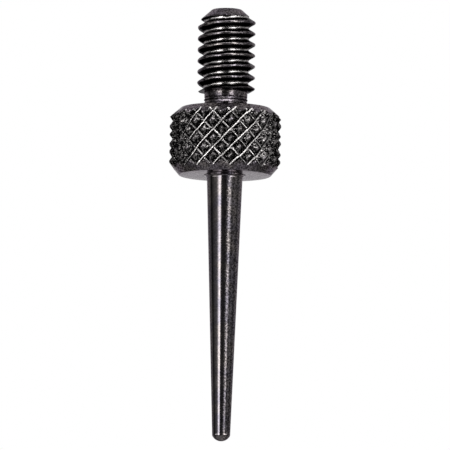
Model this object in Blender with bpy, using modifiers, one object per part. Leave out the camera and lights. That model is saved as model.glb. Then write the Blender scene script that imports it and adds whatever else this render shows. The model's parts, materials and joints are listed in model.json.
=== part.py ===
"""Taper contact point for a dial indicator: a knurled, threaded body with a pressed-in taper pin.

The pin's tip rests on the origin and the threaded stem points along +Z. Lengths are in metres.
"""

import math

import bmesh
import bpy

MM = 0.001
INCH = 25.4 * MM

# Lengths along the axis: 1/2, 1/8 and 3/16 inch nominal
TAPER_LENGTH = 12.70 * MM
COLLAR_HEIGHT = 3.22 * MM
STEM_LENGTH = 4.74 * MM

COLLAR_BOTTOM = TAPER_LENGTH
COLLAR_TOP = COLLAR_BOTTOM + COLLAR_HEIGHT
STEM_END = COLLAR_TOP + STEM_LENGTH

# Threaded stem, 4-48 UNF
PITCH = INCH / 48
MAJOR_RADIUS = 1.375 * MM
ROOT_RADIUS = 1.06 * MM
ROOT_FLAT = 0.08 * MM
FLANK_ANGLE = math.radians(30)
STEM_END_RADIUS = 0.71 * MM
STEM_CHAMFER = 0.59 * MM
NECK_RADIUS = 1.025 * MM
NECK_LENGTH = 0.77 * MM
FILLET = 0.08 * MM
# Height above the collar of the thread groove's centre, on the +X side
GROOVE_START = 0.684 * MM

# Knurled collar
COLLAR_RADIUS = 2.66 * MM
TOP_RIM_RADIUS = 2.13 * MM
# The ring that seats on the indicator's spindle starts outside the thread, and the face inside it is relieved
SEAT_RADIUS = 1.5 * MM
SEAT_RELIEF = 0.02 * MM
BOTTOM_RIM_RADIUS = 2.185 * MM
TOP_CHAMFER = 0.465 * MM
BOTTOM_CHAMFER = 0.56 * MM
KNURL_STARTS = 18
KNURL_PITCH = 0.857 * MM
KNURL_DEPTH = 0.25 * MM
KNURL_ROOT_FLAT = 0.05 * MM
# Turn of each groove family about +Z at half the collar's height, from the -Y side
RISING_TURN = math.radians(-1.6)
FALLING_TURN = math.radians(-6.8)

# Taper pin and its bore
TAPER_ROOT_RADIUS = 0.853 * MM
TIP_RADIUS = 0.476 * MM
TIP_CAP_HEIGHT = 0.27 * MM
ROOT_FILLET = 0.14 * MM
SEAT_EDGE = 0.02 * MM
SHANK_RADIUS = 0.6 * MM
SHANK_LENGTH = 2.3 * MM
SHANK_CHAMFER = 0.12 * MM
BORE_CLEARANCE = 0.005 * MM
BORE_DEPTH = 2.45 * MM
DRILL_HALF_ANGLE = math.radians(59)

STEM_SEGMENTS = 36
COLLAR_SEGMENTS = 72
PIN_SEGMENTS = 48
KNURL_SLICES = 9
# How far cutters run past the surfaces they cut
OVERSHOOT = 0.1 * MM
KNURL_OVERSHOOT = 0.025 * MM
# How far the stem is sunk into the collar that it joins
STEM_SINK = 0.4 * MM
# Points closer than this are one point
WELD = 1e-4 * MM


def clear_scene():
    for obj in list(bpy.data.objects):
        bpy.data.objects.remove(obj, do_unlink=True)


def make_collection(name):
    collection = bpy.data.collections.new(name)
    bpy.context.scene.collection.children.link(collection)
    return collection


def make_material(name, color, roughness):
    material = bpy.data.materials.new(name)
    material.use_nodes = True
    shader = material.node_tree.nodes["Principled BSDF"]
    shader.inputs["Base Color"].default_value = (*color, 1.0)
    shader.inputs["Metallic"].default_value = 1.0
    shader.inputs["Roughness"].default_value = roughness
    material.diffuse_color = (*color, 1.0)
    return material


def make_object(name, bm, collection):
    mesh = bpy.data.meshes.new(name)
    bm.to_mesh(mesh)
    bm.free()
    obj = bpy.data.objects.new(name, mesh)
    collection.objects.link(obj)
    return obj


def arc(centre, radius, start_deg, end_deg, steps):
    """Points (r, z) on an arc in the profile plane, both ends included."""
    angles = [
        math.radians(start_deg + (end_deg - start_deg) * i / steps)
        for i in range(steps + 1)
    ]
    return [
        (centre[0] + radius * math.cos(a), centre[1] + radius * math.sin(a))
        for a in angles
    ]


def turned(name, profile, segments, collection):
    """A solid of revolution about Z: (r, z) points from top to bottom, spun by a Screw modifier."""
    bm = bmesh.new()
    verts = [bm.verts.new((r, 0.0, z)) for r, z in profile]
    for upper, lower in zip(verts, verts[1:]):
        bm.edges.new((upper, lower))
    obj = make_object(name, bm, collection)
    screw = obj.modifiers.new("Turn", "SCREW")
    screw.axis = "Z"
    screw.steps = segments
    screw.render_steps = segments
    screw.use_merge_vertices = True
    screw.merge_threshold = WELD
    screw.use_normal_calculate = False
    return obj


def boolean(obj, operation, other):
    modifier = obj.modifiers.new(operation.title(), "BOOLEAN")
    modifier.operation = operation
    modifier.solver = "EXACT"
    modifier.object = other


def make_stem(collection):
    """Blank of the threaded stem and relief neck, sunk into the collar so that the two join."""
    neck_top = COLLAR_TOP + NECK_LENGTH
    foot = COLLAR_TOP - SEAT_RELIEF
    fillet = arc((NECK_RADIUS + FILLET, foot + FILLET), FILLET, 180, 270, 3)
    sunk = foot - STEM_SINK
    profile = [
        (0.0, STEM_END),
        (STEM_END_RADIUS, STEM_END),
        (MAJOR_RADIUS, STEM_END - STEM_CHAMFER),
        (MAJOR_RADIUS, neck_top),
        (NECK_RADIUS, neck_top),
        *fillet,
        (NECK_RADIUS + FILLET, sunk),
        (0.0, sunk),
    ]
    return turned("stem_blank", profile, STEM_SEGMENTS, collection)


def make_collar(collection):
    profile = [
        (0.0, COLLAR_TOP - SEAT_RELIEF),
        (SEAT_RADIUS, COLLAR_TOP - SEAT_RELIEF),
        (SEAT_RADIUS, COLLAR_TOP),
        (TOP_RIM_RADIUS, COLLAR_TOP),
        (COLLAR_RADIUS, COLLAR_TOP - TOP_CHAMFER),
        (COLLAR_RADIUS, COLLAR_BOTTOM + BOTTOM_CHAMFER),
        (BOTTOM_RIM_RADIUS, COLLAR_BOTTOM),
        (0.0, COLLAR_BOTTOM),
    ]
    return turned("collar_blank", profile, COLLAR_SEGMENTS, collection)


def make_thread_cutter(collection):
    """A V section swept along a right-hand helix, from inside the relief neck to past the stem's end."""
    half_root = ROOT_FLAT / 2
    half_top = half_root + (MAJOR_RADIUS - ROOT_RADIUS) * math.tan(FLANK_ANGLE)
    outer = MAJOR_RADIUS + OVERSHOOT
    base = COLLAR_TOP + GROOVE_START
    section = [
        (ROOT_RADIUS, -half_root),
        (MAJOR_RADIUS, -half_top),
        (outer, -half_top),
        (outer, half_top),
        (MAJOR_RADIUS, half_top),
        (ROOT_RADIUS, half_root),
    ]
    turns = math.ceil((STEM_LENGTH + half_top - GROOVE_START) / PITCH)
    bm = bmesh.new()
    face = bm.faces.new([bm.verts.new((r, 0.0, base + z)) for r, z in section])
    bmesh.ops.spin(
        bm,
        geom=[face, *face.edges, *face.verts],
        cent=(0, 0, 0),
        axis=(0, 0, 1),
        dvec=(0, 0, PITCH / STEM_SEGMENTS),
        angle=math.tau * turns,
        steps=turns * STEM_SEGMENTS,
    )
    bmesh.ops.recalc_face_normals(bm, faces=bm.faces)
    return make_object("thread_cutter", bm, collection)


def knurl_outline():
    """One turn of a knurl's cross-section as (radius, angle) points: V grooves with a narrow flat root."""
    root_radius = COLLAR_RADIUS - KNURL_DEPTH
    lead = KNURL_STARTS * KNURL_PITCH
    helix = math.atan(math.tau * COLLAR_RADIUS / lead)
    # The groove's flanks stand at 45 degrees, so its width grows by twice the depth
    half_root = KNURL_ROOT_FLAT / 2 / math.cos(helix) / root_radius
    half_top = (KNURL_ROOT_FLAT / 2 + KNURL_DEPTH) / math.cos(helix) / COLLAR_RADIUS
    slope = (half_top - half_root) / KNURL_DEPTH
    reach = COLLAR_RADIUS + KNURL_OVERSHOOT
    half_reach = half_top + slope * KNURL_OVERSHOOT
    outline = []
    for start in range(KNURL_STARTS):
        middle = math.tau * start / KNURL_STARTS
        outline.append((reach, middle - half_reach))
        outline.append((root_radius, middle - half_root))
        outline.append((root_radius, middle + half_root))
        outline.append((reach, middle + half_reach))
    return outline


def make_knurl(name, hand, turn, collection):
    """A grooved prism twisted by hand (+1 or -1) once per lead: it holds one family of knurl ridges."""
    height = COLLAR_HEIGHT + 2 * OVERSHOOT
    twist = hand * math.tau * height / (KNURL_STARTS * KNURL_PITCH)
    # The outline starts on +X, and the turn is counted from -Y at half the height
    first = turn - math.pi / 2 - twist / 2
    bottom = COLLAR_BOTTOM - OVERSHOOT
    bm = bmesh.new()
    outline = [(r * math.cos(first + a), r * math.sin(first + a)) for r, a in knurl_outline()]
    face = bm.faces.new([bm.verts.new((x, y, bottom)) for x, y in outline])
    bmesh.ops.spin(
        bm,
        geom=[face, *face.edges, *face.verts],
        cent=(0, 0, 0),
        axis=(0, 0, 1),
        dvec=(0, 0, height / KNURL_SLICES),
        angle=twist,
        steps=KNURL_SLICES,
    )
    bmesh.ops.recalc_face_normals(bm, faces=bm.faces)
    return make_object(name, bm, collection)


def make_bore(collection):
    """Cutter for the blind drilled bore that holds the pin's shank, open at the collar's underside."""
    radius = SHANK_RADIUS + BORE_CLEARANCE
    shoulder = COLLAR_BOTTOM + BORE_DEPTH
    profile = [
        (0.0, shoulder + radius / math.tan(DRILL_HALF_ANGLE)),
        (radius, shoulder),
        (radius, COLLAR_BOTTOM - OVERSHOOT),
        (0.0, COLLAR_BOTTOM - OVERSHOOT),
    ]
    return turned("bore_cutter", profile, PIN_SEGMENTS, collection)


def make_knurled_body(parts, cutters):
    collar = make_collar(cutters)
    boolean(collar, "INTERSECT", make_knurl("rising_knurl", 1, RISING_TURN, cutters))
    boolean(collar, "INTERSECT", make_knurl("falling_knurl", -1, FALLING_TURN, cutters))
    body = make_stem(parts)
    body.name = "knurled_body"
    boolean(body, "DIFFERENCE", make_thread_cutter(cutters))
    boolean(body, "UNION", collar)
    boolean(body, "DIFFERENCE", make_bore(cutters))
    return body


def make_taper_pin(parts):
    shank_end = COLLAR_BOTTOM + SHANK_LENGTH
    cap_angle = math.acos(1 - TIP_CAP_HEIGHT / TIP_RADIUS)
    narrowing = TAPER_ROOT_RADIUS - TIP_RADIUS * math.sin(cap_angle)
    slope_deg = math.degrees(math.atan2(narrowing, TAPER_LENGTH - TIP_CAP_HEIGHT))
    seat_radius = TAPER_ROOT_RADIUS + ROOT_FILLET
    fillet_centre = (seat_radius, COLLAR_BOTTOM - SEAT_EDGE - ROOT_FILLET)
    profile = [
        (0.0, shank_end),
        (SHANK_RADIUS - SHANK_CHAMFER, shank_end),
        (SHANK_RADIUS, shank_end - SHANK_CHAMFER),
        (SHANK_RADIUS, COLLAR_BOTTOM),
        (seat_radius, COLLAR_BOTTOM),
        *arc(fillet_centre, ROOT_FILLET, 90, 180 - slope_deg, 4),
        *arc((0.0, TIP_RADIUS), TIP_RADIUS, math.degrees(cap_angle) - 90, -90, 5),
    ]
    return turned("taper_pin", profile, PIN_SEGMENTS, parts)


def main():
    clear_scene()
    parts = make_collection("taper_contact_point")
    cutters = make_collection("cutters")
    body = make_knurled_body(parts, cutters)
    pin = make_taper_pin(parts)
    body.data.materials.append(make_material("oxide_body", (0.085, 0.08, 0.083), 0.35))
    pin.data.materials.append(make_material("oxide_pin", (0.085, 0.08, 0.083), 0.25))
    for cutter in cutters.objects:
        cutter.hide_render = True
        cutter.display_type = "WIRE"


main()
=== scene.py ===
"""Looks of the taper contact point: its fine thread, knurl and taper, black oxide steel and a white studio.

Every size below is in millimetres unless it says otherwise; meshes are scaled to metres when they are made.
"""

import json
import math

import bmesh
import bpy
import numpy as np
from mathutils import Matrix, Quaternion, Vector


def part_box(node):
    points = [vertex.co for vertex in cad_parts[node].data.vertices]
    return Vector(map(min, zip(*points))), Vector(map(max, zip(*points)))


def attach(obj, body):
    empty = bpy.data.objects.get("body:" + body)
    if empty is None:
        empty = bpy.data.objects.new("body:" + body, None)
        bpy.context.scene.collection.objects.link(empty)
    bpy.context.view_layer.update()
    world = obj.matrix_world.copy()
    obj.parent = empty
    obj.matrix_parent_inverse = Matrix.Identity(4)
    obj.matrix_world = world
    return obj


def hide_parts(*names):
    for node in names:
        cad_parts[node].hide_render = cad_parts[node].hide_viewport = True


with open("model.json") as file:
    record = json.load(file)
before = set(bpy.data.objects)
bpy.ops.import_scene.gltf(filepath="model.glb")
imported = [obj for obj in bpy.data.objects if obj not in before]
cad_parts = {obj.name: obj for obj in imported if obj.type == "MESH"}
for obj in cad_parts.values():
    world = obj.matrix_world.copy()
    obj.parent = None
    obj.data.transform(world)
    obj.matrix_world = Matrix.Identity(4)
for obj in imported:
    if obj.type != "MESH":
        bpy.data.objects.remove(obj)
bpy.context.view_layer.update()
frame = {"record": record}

MM = 0.001
BODY_BOX = [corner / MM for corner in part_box("knurled_body")]
PIN_BOX = [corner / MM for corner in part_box("taper_pin")]
MOUNTS = {mount["name"]: mount for mount in frame["record"]["mounts"]}

# Heights, from the frame
TIP = PIN_BOX[0].z
SHANK_END = PIN_BOX[1].z
COLLAR_BOTTOM = BODY_BOX[0].z
COLLAR_TOP = MOUNTS["indicator_seat"]["pos_m"][2] / MM
STEM_END = BODY_BOX[1].z

# Threaded stem
PITCH = 25.4 / 48
CREST_RADIUS = 1.375
ROOT_RADIUS = 1.06
ROOT_FLAT = 0.08
FLANK_SLOPE = 1 / math.tan(math.radians(30))
CREST_ROUNDING = 0.045
ROOT_ROUNDING = 0.055
GROOVE_START = COLLAR_TOP + 0.684
STEM_END_RADIUS = 0.71
STEM_CHAMFER = 0.59
STEM_ROUNDING = 0.02
STEM_EDGE_WIDTH = 0.015
STEM_EDGE_HEIGHT = 0.02

# Relief neck
NECK_RADIUS = 1.025
NECK_TOP = COLLAR_TOP + 0.77
NECK_TOP_CORNER = 0.015
NECK_TAPER = 0.005
NECK_FILLET = 0.08

# The neck's turned rings from the top down, as (height of their upper edge over the collar, height of their
# lower edge, how far the upper edge stands proud of the neck, how deep the lower edge lies in it)
NECK_RINGS = (
    (0.515, 0.475, 0.0, 0.02),
    (0.38, 0.33, 0.02, 0.03),
    (0.215, 0.18, 0.02, 0.01),
)
NECK_RING_ROUNDING = 0.008

# Knurled collar
COLLAR_RADIUS = 2.66
TOP_RIM_RADIUS = 2.13
BOTTOM_RIM_RADIUS = 2.185
TOP_CHAMFER = 0.465
BOTTOM_CHAMFER = 0.56
KNURL_STARTS = 18
KNURL_PITCH = 0.857
RISING_DEPTH = 0.275
FALLING_DEPTH = 0.23
KNURL_ROOT_FLAT = 0.05
KNURL_ROUNDING = 0.012
KNURL_ROOT_ROUNDING = 0.02
CHAMFER_ROUNDING = 0.02
SHOULDER_ROUNDING = 0.03
RIM_ROUNDING = 0.03
COLLAR_MIDDLE = (COLLAR_BOTTOM + COLLAR_TOP) / 2
RISING_TURN = math.radians(-1.6)
FALLING_TURN = math.radians(-6.8)

# The two groove families as (turn, hand, depth, seed of their unevenness, least painted highlight along a
# root)
KNURL_FAMILIES = (
    (RISING_TURN, 1, RISING_DEPTH, 0.0, 0.6),
    (FALLING_TURN, -1, FALLING_DEPTH, 1.7, 0.2),
)

# How far the knurl's grooves stray sideways, in groove pitches: smoothly, and at each crossing
KNURL_WANDER = 0.012
KNURL_KINK = 0.035

# How strong the painted highlight is, from 0 to 1, and how wide the painted highlight line along a knurl
# groove's root is
FALLING_ROOT_HIGHLIGHT = 0.9
KNURL_POINT_HIGHLIGHT = 0.2
THREAD_CREST_HIGHLIGHT = 0.05
THREAD_ROOT_HIGHLIGHT = 0.7
HIGHLIGHT_LINE = 0.026

# How strong the painted shade on the neck is, from 0 to 1, at the thread's end and on the rings' lower
# sides
NECK_SHADE = 0.7

# Bore and taper pin
BORE_RADIUS = 0.605
BORE_DEPTH = 2.45
BORE_EDGE = 0.02
DRILL_POINT_ANGLE = math.radians(118)
SHANK_RADIUS = 0.6
SHANK_CHAMFER = 0.12
ROOT_FILLET = 0.14
SEAT_EDGE = 0.02
TAPER_ROOT_RADIUS = 0.853
TIP_RADIUS = 0.476
TIP_CAP_HEIGHT = 0.27

# Mesh fineness
STEM_COLUMNS = 216
ROWS_PER_PITCH = 18
CELLS_PER_GROOVE = 24
COLLAR_COLUMNS = KNURL_STARTS * CELLS_PER_GROOVE
PIN_COLUMNS = 144
TAPER_ROWS = 160
TIP_ROWS = 12

# Radii on the collar's top face between which the stem's columns widen to the collar's
FACE_RADII = (1.5, 1.6)

# Points this near, in metres, become one, and edges sharper than this stay sharp
MERGE = 1e-8
SHARP_ANGLE = math.radians(40)

# Colours of the steel: a painted highlight, in a dent, painted shade on a flank, painted glints on a
# flank's points, and at a grazing view of the oxide and of a flank under painted shade
PAINTED_HIGHLIGHT_STEEL = (0.6, 0.58, 0.57, 1)
DENT = (0.02, 0.018, 0.02, 1)
PAINTED_FLANK_SHADE = (0.004, 0.0035, 0.004, 1)
PAINTED_GLINT = (0.25, 0.24, 0.235, 1)
GRAZED_OXIDE = (0.61, 0.575, 0.61)
GRAZED_PAINTED_FLANK_SHADE = (0.25, 0.24, 0.25, 1)

# Light of the mirrored room by azimuth, as (degrees, level)
ROOM_LEVELS = (
    (-180, 0.85),
    (-113, 0.5),
    (-102, 0.02),
    (-91, 0.04),
    (-84, 0.18),
    (-62, 0.45),
    (-46, 0.8),
    (-36, 1.0),
    (-22, 0.3),
    (-12, 0.10),
    (8, 0.08),
    (16, 0.3),
    (30, 0.7),
    (42, 0.5),
    (58, 0.25),
    (70, 0.6),
    (84, 0.3),
    (94, 0.08),
    (105, 0.08),
    (116, 0.5),
    (180, 0.85),
)


# ---------------------------------------------------------------- meshes


def soft_min(a, b, width):
    """The smaller of a and b, rounded where they cross."""
    share = np.clip(0.5 + 0.5 * (b - a) / width, 0, 1)
    return b * (1 - share) + a * share - width * share * (1 - share)


def soft_max(a, b, width):
    return -soft_min(-a, -b, width)


def near(value, width):
    """One where value is under half of width, falling to zero at one and a half times width."""
    return np.clip(1.5 - value / width, 0, 1)


def ripple(angle, height, waves):
    """A smooth wobble over a turned surface: waves of (size, whole waves a turn, radians a mm, phase)."""
    return sum(
        size * np.sin(count * angle + rate * height + phase)
        for size, count, rate, phase in waves
    )


def rounded(corners, steps=4):
    """Points (r, z) along corners (r, z, cut), each corner rounded from cut before it to cut after it."""
    points = []
    for index, (r, z, cut) in enumerate(corners):
        here = np.array([r, z])
        if not cut:
            points.append(here)
            continue
        before = np.array(corners[index - 1][:2]) - here
        after = np.array(corners[index + 1][:2]) - here
        start = here + cut * before / np.linalg.norm(before)
        end = here + cut * after / np.linalg.norm(after)
        for t in np.linspace(0, 1, steps + 1):
            points.append((1 - t) ** 2 * start + 2 * t * (1 - t) * here + t * t * end)
    return np.array(points)


class Skin:
    """Gathers rings of points about Z, and the faces between them, into one mesh."""

    def __init__(self):
        self.points = []
        self.marks = []
        self.faces = []
        self.count = 0

    def add_points(self, points, marks=(0.0, 0.0, 0.0)):
        """Points and their marks, from 0 to 1: how much painted highlight, how much painted shade and how
        bruised the steel is there.
        """
        first = self.count
        shape = points.shape[:-1]
        marks = [np.broadcast_to(mark, shape).ravel() for mark in marks]
        self.points.append(points.reshape(-1, 3))
        self.marks.append(np.stack(marks, axis=-1))
        self.count += self.points[-1].shape[0]
        return first

    def rings(self, radius, height, angles, marks=(0.0, 0.0, 0.0), climb=0, middle=None):
        """Rings of one radius and height a point, each joined to the next.

        A climbing ring meets, after its turn, the ring that many rows on. middle gives the true radius at
        each face's centre, which then picks the diagonal that the face is split along.
        """
        shape = np.broadcast_shapes(radius.shape, height.shape, angles.shape)
        radius, height, angles = (np.broadcast_to(a, shape) for a in (radius, height, angles))
        points = np.stack([radius * np.cos(angles), radius * np.sin(angles), height], axis=-1)
        first = self.add_points(points, marks)
        rows, columns = shape
        index = first + np.arange(rows * columns).reshape(rows, columns)
        onward = np.concatenate([index[:, 1:], np.roll(index[:, :1], -climb, axis=0)], axis=1)
        a, b, c, d = index[:-1], onward[:-1], onward[1:], index[1:]
        quads = np.stack([a, b, c, d], axis=-1)
        if climb:
            open_ends = quads[rows - 1 - climb :, -1].copy()
            quads[rows - 1 - climb :, -1] = open_ends[:, :1]
        if middle is None:
            self.faces += quads.reshape(-1, 4).tolist()
            return
        flat = radius.ravel()
        direct = np.abs((flat[a - first] + flat[c - first]) / 2 - middle)
        across = np.abs((flat[b - first] + flat[d - first]) / 2 - middle)
        split = (direct <= across)[..., None]
        one = np.where(split, np.stack([a, b, c], -1), np.stack([a, b, d], -1))
        two = np.where(split, np.stack([a, c, d], -1), np.stack([b, c, d], -1))
        self.faces += one.reshape(-1, 3).tolist()
        self.faces += two.reshape(-1, 3).tolist()

    def profile(self, points, angles):
        """A surface of revolution through (r, z) points."""
        self.rings(points[:, :1], points[:, 1:], angles[None, :])

    def widen(self, radius, height, coarse, fine):
        """Joins a ring of points to one of twice as many on the same plane, from radius[0] to radius[1]."""
        ends = [
            self.add_points(
                np.stack([r * np.cos(a), r * np.sin(a), np.full(a.shape, height)], axis=-1)
            )
            for r, a in zip(radius, (coarse, fine))
        ]
        inner = ends[0] + np.arange(len(coarse))
        inner_next = np.roll(inner, -1)
        outer = ends[1] + 2 * np.arange(len(coarse))
        outer_next = np.roll(outer, -1)
        for triangle in (
            (inner, outer, outer + 1),
            (inner, outer + 1, inner_next),
            (inner_next, outer + 1, outer_next),
        ):
            self.faces += np.stack(triangle, axis=-1).tolist()

    def build(self, name):
        """One closed object, with each point's marks, painted highlight, painted shade and bruising, kept
        as one point attribute.
        """
        mesh = bpy.data.meshes.new(name)
        points = np.concatenate(self.points) * MM
        faces = [f for f in self.faces if len(set(f)) > 2]
        mesh.from_pydata(points.tolist(), [], faces)
        finish_and_painted_light = mesh.attributes.new("finish_and_painted_light", "FLOAT_VECTOR", "POINT")
        finish_and_painted_light.data.foreach_set("vector", np.concatenate(self.marks).astype(np.float32).ravel())
        bm = bmesh.new()
        bm.from_mesh(mesh)
        bmesh.ops.remove_doubles(bm, verts=bm.verts, dist=MERGE)
        bmesh.ops.recalc_face_normals(bm, faces=bm.faces)
        if bm.calc_volume(signed=True) < 0:
            bmesh.ops.reverse_faces(bm, faces=bm.faces)
        bm.to_mesh(mesh)
        bm.free()
        mesh.shade_smooth()
        mesh.set_sharp_from_angle(angle=SHARP_ANGLE)
        obj = bpy.data.objects.new(name, mesh)
        bpy.context.scene.collection.objects.link(obj)
        return obj


# ---------------------------------------------------------------- knurled body


def knurl_place(angle, height, turn, hand):
    """Place across a family of knurl grooves, in groove pitches: whole numbers are the grooves' centres."""
    # A turn is counted from the -Y side
    along = (angle + math.pi / 2 - turn) * KNURL_STARTS / math.tau
    return along - hand * (height - COLLAR_MIDDLE) / KNURL_PITCH


def per_segment(number, across, seed):
    """From -1 to 1 for each stretch of a groove between two of the other family, eased into the next."""
    crossed = np.round(across)
    share = np.clip((across - crossed) / 0.2 + 0.5, 0, 1)
    before, after = (
        np.sin(number * 2.4 + np.mod(crossed + step, KNURL_STARTS) * 3.9 + seed) for step in (-1, 0)
    )
    return before * (1 - share) + after * share


def blank_radius(height):
    """The collar before knurling: a cylinder between two chamfers."""
    top_slope = (COLLAR_RADIUS - TOP_RIM_RADIUS) / TOP_CHAMFER
    bottom_slope = (COLLAR_RADIUS - BOTTOM_RIM_RADIUS) / BOTTOM_CHAMFER
    top = TOP_RIM_RADIUS + (COLLAR_TOP - height) * top_slope
    bottom = BOTTOM_RIM_RADIUS + (height - COLLAR_BOTTOM) * bottom_slope
    return soft_min(soft_min(top, bottom, CHAMFER_ROUNDING), COLLAR_RADIUS, SHOULDER_ROUNDING)


def knurl(angle, height):
    """The knurled surface: two families of V grooves, rolled a little unevenly, cut into the blank.

    Gives the radius, how much painted highlight and painted shade it gets, and how bruised the steel is: a
    painted highlight along the grooves' roots and on the points between them, painted shade on the flanks,
    and bruised all over the knurl and less so away from it.
    """
    lead = KNURL_STARTS * KNURL_PITCH
    helix = math.atan(math.tau * COLLAR_RADIUS / lead)
    normal_pitch = KNURL_PITCH * math.sin(helix)
    blank = blank_radius(height)
    places = [knurl_place(angle, height, turn, hand) for turn, hand, *_ in KNURL_FAMILIES]
    grooves = []
    for (*_, depth, seed, least_highlight), place, across in zip(KNURL_FAMILIES, places, places[::-1]):
        number = np.mod(np.round(place), KNURL_STARTS)
        uneven = np.sin(number * 2.4 + seed) * 0.012 + np.sin(number * 5.1 + seed * 3) * 0.008
        waves = ((KNURL_WANDER, 5, 3.1, seed), (KNURL_WANDER, 11, -4.7, seed * 2))
        wander = ripple(angle, height, waves) + KNURL_KINK * per_segment(number, across, seed)
        away = np.abs(place - np.round(place) + wander) * normal_pitch
        flank = soft_max(away - KNURL_ROOT_FLAT / 2, 0.0, KNURL_ROOT_ROUNDING)
        shine = least_highlight + (1 - least_highlight) * (0.5 + 0.5 * per_segment(number, across, seed + 2))
        grooves.append((COLLAR_RADIUS - depth + uneven + flank, away, shine))
    (rising, from_rising, rising_shine), (falling, from_falling, falling_shine) = grooves
    surface = soft_min(soft_min(blank, rising, KNURL_ROUNDING), falling, KNURL_ROUNDING)
    # Painted highlights along the grooves' roots and on the points between them
    in_rising = near(from_rising, HIGHLIGHT_LINE) * (rising < blank) * rising_shine
    in_falling = near(from_falling, HIGHLIGHT_LINE) * (falling < np.minimum(blank, rising))
    in_falling = in_falling * falling_shine * np.clip(from_rising / 0.08 - 1, 0, 1)
    point = np.clip((surface - COLLAR_RADIUS + 0.1) / 0.05, 0, 1) * (surface < blank - 0.005)
    in_either = np.maximum(in_rising, FALLING_ROOT_HIGHLIGHT * in_falling)
    painted_highlight = np.maximum(in_either, KNURL_POINT_HIGHLIGHT * point)
    # The painted highlight is weaker on the -X side
    painted_highlight = painted_highlight * np.clip((np.cos(angle) + 0.9) / 0.4, 0.3, 1)
    # Painted shade on the flanks, fuller deeper below the blank
    painted_shade = np.clip((blank - surface - 0.02) / 0.04, 0, 1)
    bruised = np.clip(1 - (np.minimum(rising, falling) - blank) / 0.35, 0, 1)
    return surface, painted_highlight, painted_shade, bruised


def thread_radius(angle, height):
    """The thread's surface: a rounded V groove on a right-hand helix, cut into the chamfered stem."""
    wobble = ripple(angle, height, ((0.014, 5, 2.3, 0.4), (0.012, 11, -5.1, 1.9)))
    turns = (height - GROOVE_START) / PITCH - angle / math.tau + wobble
    away = np.abs(turns - np.round(turns)) * PITCH
    flank = ROOT_RADIUS + (away - ROOT_FLAT / 2) * FLANK_SLOPE
    crested = soft_min(flank, CREST_RADIUS, CREST_ROUNDING)
    thread = soft_max(crested, ROOT_RADIUS, ROOT_ROUNDING)
    return soft_min(thread, chamfered_stem(height), STEM_ROUNDING)


def chamfered_stem(height):
    """The radius of the stem's end chamfer, which goes on widening below it."""
    slope = (CREST_RADIUS - STEM_END_RADIUS) / STEM_CHAMFER
    return STEM_END_RADIUS + (STEM_END - height) * slope


def add_thread(skin, angles):
    """Rows that climb with the thread, held between the neck's top and the stem's end."""
    start = NECK_TOP - PITCH
    edge = STEM_END - STEM_EDGE_HEIGHT
    rows = math.ceil((edge - start + PITCH) / PITCH * ROWS_PER_PITCH) + 1
    row, column = np.meshgrid(np.arange(rows), np.arange(len(angles)), indexing="ij")
    climbed = row / ROWS_PER_PITCH + column / len(angles)
    height = np.clip(start + climbed * PITCH, NECK_TOP, edge)
    angle = np.broadcast_to(angles, height.shape)
    radius = thread_radius(angle, height)
    depth = (CREST_RADIUS - radius) / (CREST_RADIUS - ROOT_RADIUS)
    crest = near(depth, 0.06)
    root = near(1 - depth, 0.1)
    threaded = np.clip((chamfered_stem(height) - radius) / 0.03, 0, 1)
    # Painted shade on the thread's end, next to the neck
    ending = np.clip((height - NECK_TOP) / 0.1 - 0.8, 0, 1)
    # Painted highlights along the thread's crests and roots
    painted_highlight = threaded * ending * np.maximum(THREAD_CREST_HIGHLIGHT * crest, THREAD_ROOT_HIGHLIGHT * root)
    # Painted shade on the thread's flanks, between crest and root
    painted_shade = threaded * np.clip(12 * (depth - 0.07) * (1 - depth), 0, 1)
    painted_shade = np.maximum(painted_shade, 1 - ending)
    skin.rings(radius, height, angle, (painted_highlight, painted_shade, 0.0), climb=ROWS_PER_PITCH)
    edge_radius = thread_radius(angles[None, :], np.array([[edge]]))
    flat = np.array([0.0, 0.35, 0.66, STEM_END_RADIUS - STEM_EDGE_WIDTH])
    radii = np.broadcast_to(flat[:, None], (len(flat), len(angles)))
    heights = np.array([STEM_END] * len(flat) + [edge])[:, None]
    skin.rings(np.concatenate([radii, edge_radius]), heights, angles[None, :])


def add_neck(skin, angles):
    """The relief neck, from the thread's square end down to the collar's top face."""
    thread_end = thread_radius(angles[None, :], np.array([[NECK_TOP]]))
    top_radius = NECK_RADIUS + NECK_TAPER
    corners = [
        (top_radius + 0.02, NECK_TOP, 0),
        (top_radius, NECK_TOP, NECK_TOP_CORNER),
        (top_radius, NECK_TOP - 0.03, 0),
        (NECK_RADIUS, COLLAR_TOP + NECK_RINGS[0][0] + 0.015, 0),
    ]
    for upper, lower, proud, deep in NECK_RINGS:
        corners.append((NECK_RADIUS + proud, COLLAR_TOP + upper, NECK_RING_ROUNDING))
        corners.append((NECK_RADIUS - deep, COLLAR_TOP + lower, NECK_RING_ROUNDING))
    corners.append((NECK_RADIUS, COLLAR_TOP, NECK_FILLET))
    corners.append((FACE_RADII[0], COLLAR_TOP, 0))
    points = rounded(corners)
    radii = np.broadcast_to(points[:, :1], (len(points), len(angles)))
    heights = np.concatenate([[[NECK_TOP]], points[:, 1:]])
    # Painted shade on the thread's end and on the rings' lower sides
    over = heights - COLLAR_TOP
    shaded = heights > NECK_TOP - NECK_TOP_CORNER - 0.002
    for upper, lower, *_ in NECK_RINGS:
        shaded = shaded | (np.abs(over - (upper + lower) / 2) < (upper - lower) / 2 + 0.002)
    marks = (0.0, NECK_SHADE * shaded, 0.0)
    skin.rings(np.concatenate([thread_end, radii]), heights, angles[None, :], marks)


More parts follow.
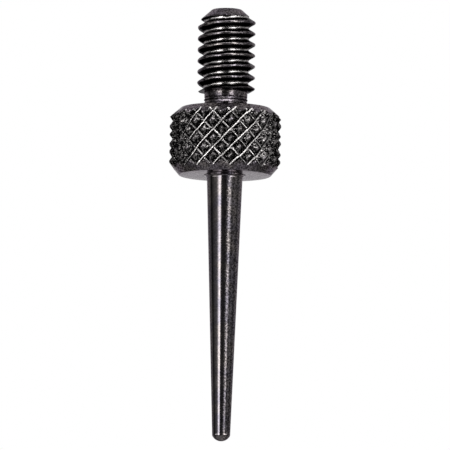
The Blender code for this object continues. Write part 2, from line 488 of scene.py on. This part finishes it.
def add_collar(skin, angles):
    """The collar's outside on a grid that follows both groove families, with its rims and its underside."""
    lower_rim = COLLAR_BOTTOM + RIM_ROUNDING
    upper_rim = COLLAR_TOP - RIM_ROUNDING
    cell = KNURL_PITCH / CELLS_PER_GROOVE
    # The grid's rows pass through the points where two grooves cross
    crossing = COLLAR_MIDDLE + (FALLING_TURN - RISING_TURN) * KNURL_STARTS / math.tau * KNURL_PITCH / 2
    lowest = math.ceil((lower_rim - crossing) / cell)
    highest = math.floor((upper_rim - crossing) / cell)
    inner = crossing + np.arange(lowest, highest + 1) * cell
    height = np.concatenate([[lower_rim], inner, [upper_rim]])[:, None]
    radius, *marks = knurl(angles[None, :], height)
    centre_angle = angles[None, :] + math.pi / COLLAR_COLUMNS
    middle = knurl(centre_angle, (height[1:] + height[:-1]) / 2)[0]
    skin.rings(radius, height, angles[None, :], marks, middle=middle)
    top = [
        (FACE_RADII[1], COLLAR_TOP, 0),
        (TOP_RIM_RADIUS, COLLAR_TOP, RIM_ROUNDING),
        (blank_radius(upper_rim), upper_rim, 0),
    ]
    skin.profile(rounded(top), angles)
    drill_point = COLLAR_BOTTOM + BORE_DEPTH + BORE_RADIUS / math.tan(DRILL_POINT_ANGLE / 2)
    underside = [
        (blank_radius(lower_rim), lower_rim, 0),
        (BOTTOM_RIM_RADIUS, COLLAR_BOTTOM, RIM_ROUNDING),
        (1.4, COLLAR_BOTTOM, 0),
        (BORE_RADIUS + BORE_EDGE, COLLAR_BOTTOM, 0),
        (BORE_RADIUS, COLLAR_BOTTOM + BORE_EDGE, 0),
        (BORE_RADIUS, COLLAR_BOTTOM + BORE_DEPTH, 0),
        (0.0, drill_point, 0),
    ]
    skin.profile(rounded(underside), angles)


def make_body():
    # The columns pass through the points where two grooves cross
    first = (RISING_TURN + FALLING_TURN) / 2 - math.pi / 2
    coarse = first + np.arange(STEM_COLUMNS) * math.tau / STEM_COLUMNS
    fine = first + np.arange(COLLAR_COLUMNS) * math.tau / COLLAR_COLUMNS
    skin = Skin()
    add_thread(skin, coarse)
    add_neck(skin, coarse)
    skin.widen(FACE_RADII, COLLAR_TOP, coarse, fine)
    add_collar(skin, fine)
    return skin.build("knurled_body_surface")


# ---------------------------------------------------------------- taper pin


def make_pin():
    cap_angle = math.acos(1 - TIP_CAP_HEIGHT / TIP_RADIUS)
    edge_radius = TIP_RADIUS * math.sin(cap_angle)
    seat = TAPER_ROOT_RADIUS + ROOT_FILLET
    tip_edge = TIP + TIP_CAP_HEIGHT
    corners = [
        (0.0, SHANK_END, 0),
        (SHANK_RADIUS - SHANK_CHAMFER, SHANK_END, 0),
        (SHANK_RADIUS, SHANK_END - SHANK_CHAMFER, 0),
        (SHANK_RADIUS, COLLAR_BOTTOM, 0),
        (seat, COLLAR_BOTTOM, 0),
        (seat, COLLAR_BOTTOM - SEAT_EDGE, 0),
        (TAPER_ROOT_RADIUS, COLLAR_BOTTOM - SEAT_EDGE, ROOT_FILLET),
        (edge_radius, tip_edge, 0),
    ]
    head = rounded(corners, steps=8)[:-1]
    share = np.linspace(0, 1, TAPER_ROWS)[1:, None]
    taper = head[-1] * (1 - share) + np.array([edge_radius, tip_edge]) * share
    swept = np.linspace(cap_angle, 0, TIP_ROWS)[1:]
    cap = np.stack([TIP_RADIUS * np.sin(swept), TIP + TIP_RADIUS * (1 - np.cos(swept))], axis=-1)
    angles = np.arange(PIN_COLUMNS) * math.tau / PIN_COLUMNS
    skin = Skin()
    skin.profile(np.concatenate([head, taper, cap]), angles)
    return skin.build("taper_pin_surface")


# ---------------------------------------------------------------- materials


class Nodes:
    """Short calls to add and join shader nodes."""

    def __init__(self, tree):
        self.tree = tree
        self.tree.nodes.clear()

    def add(self, kind, inputs=None, **settings):
        node = self.tree.nodes.new(kind)
        for key, value in settings.items():
            setattr(node, key, value)
        for key, value in (inputs or {}).items():
            if isinstance(value, bpy.types.NodeSocket):
                self.tree.links.new(value, node.inputs[key])
            else:
                node.inputs[key].default_value = value
        return node

    def math(self, operation, a, b=0.0):
        return self.add("ShaderNodeMath", {0: a, 1: b}, operation=operation).outputs[0]

    def product(self, first, *others):
        for other in others:
            first = self.math("MULTIPLY", first, other)
        return first

    def total(self, first, *others):
        for other in others:
            first = self.math("ADD", first, other)
        return first

    def mix(self, factor, a, b):
        node = self.add("ShaderNodeMix", {0: factor, 6: a, 7: b}, data_type="RGBA")
        return node.outputs[2]

    def scaled(self, color, factor):
        node = self.add("ShaderNodeVectorMath", {0: color, "Scale": factor}, operation="SCALE")
        return node.outputs[0]

    def span(self, value, low, high, out_low=0.0, out_high=1.0, smooth=False):
        node = self.add(
            "ShaderNodeMapRange",
            {"Value": value, "From Min": low, "From Max": high, "To Min": out_low, "To Max": out_high},
            interpolation_type="SMOOTHSTEP" if smooth else "LINEAR",
        )
        return node.outputs[0]

    def window(self, value, rise, fall):
        """One between the two ramps rise and fall, each given as (from, to), and zero outside them."""
        up = self.span(value, *rise, smooth=True)
        down = self.span(value, *fall, 1.0, 0.0, smooth=True)
        return self.product(up, down)

    def noise(self, place, scale, detail):
        inputs = {"Vector": place, "Scale": scale, "Detail": detail, "Roughness": 0.55}
        return self.add("ShaderNodeTexNoise", inputs).outputs[0]


def oxide_steel(name, tint_a, tint_b, roughness, marks, grain, worn_grain):
    """Black oxide on steel: mottled tint, grain, lathe marks about the axis, painted shade on the flanks,
    painted highlights along the roots.

    The grain goes from grain on the -X side to worn_grain on the +X side. A coarser grain is more mottled.
    """
    material = bpy.data.materials.new(name)
    material.use_nodes = True
    n = Nodes(material.node_tree)
    place = n.add("ShaderNodeTexCoord").outputs["Object"]
    in_mm = n.add("ShaderNodeMapping", {"Vector": place, "Scale": (1000, 1000, 1000)}).outputs[0]
    rings = n.add("ShaderNodeMapping", {"Vector": place, "Scale": (350, 350, 30000)}).outputs[0]
    blotches = n.noise(in_mm, 1.3, 5.0)
    specks = n.noise(in_mm, 12.0, 3.0)
    lathe = n.noise(rings, 1.0, 2.0)
    finish_and_painted_light = n.add("ShaderNodeAttribute", attribute_name="finish_and_painted_light").outputs["Vector"]
    painted_highlight, painted_shade, bruised = n.add("ShaderNodeSeparateXYZ", {0: finish_and_painted_light}).outputs
    side = n.add("ShaderNodeSeparateXYZ", {0: in_mm}).outputs[0]
    grained = n.span(side, -0.15, 0.25, grain, worn_grain, smooth=True)
    mottling = n.product(n.span(grained, 0, 5, 0.2, 1.0), n.span(specks, 0.43, 0.57, -0.6, 0.7))
    # Painted glints on the flanks that get painted shade
    painted_glint = n.product(bruised, n.span(specks, 0.54, 0.62, smooth=True))
    dents = n.product(bruised, n.span(specks, 0.45, 0.55, 0.85, 0.0, smooth=True))
    # Painted highlights, broken up by the specks
    speckled_highlight = n.product(painted_highlight, n.span(specks, 0.35, 0.6, 0.65, 1.0))
    tint = n.mix(n.span(blotches, 0.35, 0.65, smooth=True), (*tint_a, 1), (*tint_b, 1))
    tint = n.mix(dents, n.scaled(tint, n.total(mottling, 1.0)), DENT)
    # Painted shade on the flanks, with its painted glints
    tint = n.mix(painted_shade, tint, n.mix(painted_glint, PAINTED_FLANK_SHADE, PAINTED_GLINT))
    # Painted highlights over the oxide
    color = n.mix(speckled_highlight, tint, PAINTED_HIGHLIGHT_STEEL)
    grazed_oxide = n.scaled(GRAZED_OXIDE, n.span(specks, 0.4, 0.6, 0.8, 1.2))
    # Less grazing reflection where shade is painted on the flanks
    edge_tint = n.mix(painted_shade, grazed_oxide, GRAZED_PAINTED_FLANK_SHADE)
    rough = n.span(specks, 0.3, 0.7, roughness * 0.75, roughness * 1.3)
    rough = n.total(rough, n.product(n.total(painted_highlight, painted_shade), 0.12))
    rise = n.product(specks, grained, n.span(bruised, 0, 1, 1, 3))
    relief = n.total(rise, n.product(lathe, marks))
    bump = n.add("ShaderNodeBump", {"Height": relief, "Strength": 1.0, "Distance": 1e-6})
    shader = n.add(
        "ShaderNodeBsdfPrincipled",
        {
            "Base Color": color,
            "Metallic": 1.0,
            "Roughness": rough,
            "Specular Tint": edge_tint,
            "Normal": bump.outputs[0],
        },
    )
    n.add("ShaderNodeOutputMaterial", {"Surface": shader.outputs[0]})
    return material


def plain_material(name, color, roughness):
    material = bpy.data.materials.new(name)
    material.use_nodes = True
    shader = material.node_tree.nodes["Principled BSDF"]
    shader.inputs["Base Color"].default_value = (*color, 1.0)
    shader.inputs["Roughness"].default_value = roughness
    return material


# ---------------------------------------------------------------- studio


def room_light(n):
    """The light that the steel mirrors in each direction: a dim room with soft boxes, lamps and a table.

    Azimuths are in degrees about Z from the camera's side at -Y, positive towards +X.
    """
    direction = n.add("ShaderNodeTexCoord").outputs["Generated"]
    x, y, z = n.add("ShaderNodeSeparateXYZ", {0: direction}).outputs
    azimuth = n.product(n.math("ARCTAN2", x, n.product(y, -1.0)), math.degrees(1))
    elevation = n.product(n.math("ARCSINE", z), math.degrees(1))
    ring = n.add("ShaderNodeValToRGB", {0: n.span(azimuth, -180, 180)})
    elements = ring.color_ramp.elements
    while len(elements) < len(ROOM_LEVELS):
        elements.new(0.5)
    for element, (angle, level) in zip(elements, ROOM_LEVELS):
        element.position = (angle + 180) / 360
        element.color = (level, level, level, 1)
    walls = n.product(ring.outputs[0], n.window(elevation, (-45, -20), (40, 60)))
    # Both boxes lean a little, and the left one's lower edge falls from its outer side to its inner side
    leaning = n.total(azimuth, n.span(elevation, 3, 9, 0, 9))
    lower_edge = n.span(leaning, -52, -42, 6, -30)
    left_box = n.product(
        n.window(leaning, (-49, -30), (-26, -20)),
        n.span(n.math("SUBTRACT", elevation, lower_edge), -3, 3, smooth=True),
        n.span(elevation, 4, 7, 10.5, 3.2),
        n.span(elevation, 40, 60, 1.0, 0.0, smooth=True),
    )
    right_box = n.product(
        n.window(leaning, (22, 35), (38, 52)),
        n.window(elevation, (-40, -30), (35, 55)),
        n.span(elevation, 4, 7, 2.9, 7.6),
    )
    lamp_above = n.product(
        n.window(azimuth, (-36, -20), (42, 56)), n.window(elevation, (36, 46), (60, 68)), 5.0
    )
    lamp_beside = n.product(
        n.window(azimuth, (72, 88), (115, 140)), n.window(elevation, (4.5, 6.5), (12, 25)), 0.45
    )
    # The table's bright edge, just below the horizon on both sides
    table_left = n.product(n.window(azimuth, (-90, -75), (-28, -20)), 4.5)
    table_right = n.product(n.window(azimuth, (22, 30), (65, 80)), 8.0)
    table = n.product(n.total(table_left, table_right), n.window(elevation, (-20, -16), (-9, -5)))
    ceiling = n.span(elevation, 30, 55, 0.0, 0.78, smooth=True)
    ground = n.span(elevation, -60, -30, 0.72, 0.0, smooth=True)
    everywhere = 0.03
    boxes = n.total(left_box, right_box)
    lamps = n.total(lamp_above, lamp_beside)
    return n.total(walls, boxes, lamps, table, ceiling, ground, everywhere)


def make_studio():
    """A pale floor and a white background, and a dim room that only mirror images show."""
    bpy.context.scene.view_settings.view_transform = "Standard"
    world = bpy.data.worlds.new("studio")
    bpy.context.scene.world = world
    world.use_nodes = True
    n = Nodes(world.node_tree)
    mirrored = n.add("ShaderNodeLightPath").outputs["Is Glossy Ray"]
    levels = {0: mirrored, 2: 1.0, 3: room_light(n)}
    strength = n.add("ShaderNodeMix", levels, data_type="FLOAT").outputs[0]
    background = n.add("ShaderNodeBackground", {"Color": (1, 1, 1, 1), "Strength": strength})
    n.add("ShaderNodeOutputWorld", {"Surface": background.outputs[0]})
    floor_size = 4.0
    floor_height = -0.08
    bpy.ops.mesh.primitive_plane_add(size=floor_size, location=(0, 0, floor_height))
    floor = bpy.context.object
    floor.name = "floor"
    floor.visible_glossy = False
    floor.data.materials.append(plain_material("pale_floor", (0.8, 0.8, 0.8), 0.9))


def make_camera():
    """Seen from a little below, from far off, so that the view is almost parallel."""
    elevation = math.radians(-7.2)
    lens = 800.0
    sensor = 36.0
    view_height = 21.38 * MM
    aim = Vector((0.045, 0, 10.333)) * MM
    back = Vector((0, -math.cos(elevation), math.sin(elevation)))
    camera = bpy.data.objects.new("camera", bpy.data.cameras.new("camera"))
    bpy.context.scene.collection.objects.link(camera)
    camera.data.lens = lens
    camera.data.sensor_width = sensor
    camera.data.clip_start = 0.01
    camera.data.clip_end = 20.0
    camera.rotation_mode = "QUATERNION"
    roll = Quaternion((0, 0, 1), math.radians(0.8))
    camera.rotation_quaternion = (-back).to_track_quat("-Z", "Y") @ roll
    camera.location = aim + back * (view_height * lens / sensor)
    bpy.context.scene.camera = camera


def main():
    body = make_body()
    pin = make_pin()
    body_finish = oxide_steel(
        "oxide_body_finish",
        tint_a=(0.075, 0.067, 0.077),
        tint_b=(0.1, 0.09, 0.087),
        roughness=0.14,
        marks=1.5,
        grain=5,
        worn_grain=5,
    )
    pin_finish = oxide_steel(
        "oxide_pin_finish",
        tint_a=(0.074, 0.069, 0.08),
        tint_b=(0.104, 0.094, 0.092),
        roughness=0.1,
        marks=1,
        grain=0.5,
        worn_grain=5,
    )
    body.data.materials.append(body_finish)
    pin.data.materials.append(pin_finish)
    for piece, node, slot in (
        (body, "knurled_body", "oxide_body"),
        (pin, "taper_pin", "oxide_pin"),
    ):
        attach(piece, "root")
        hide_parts(node)
    make_studio()
    make_camera()


main()
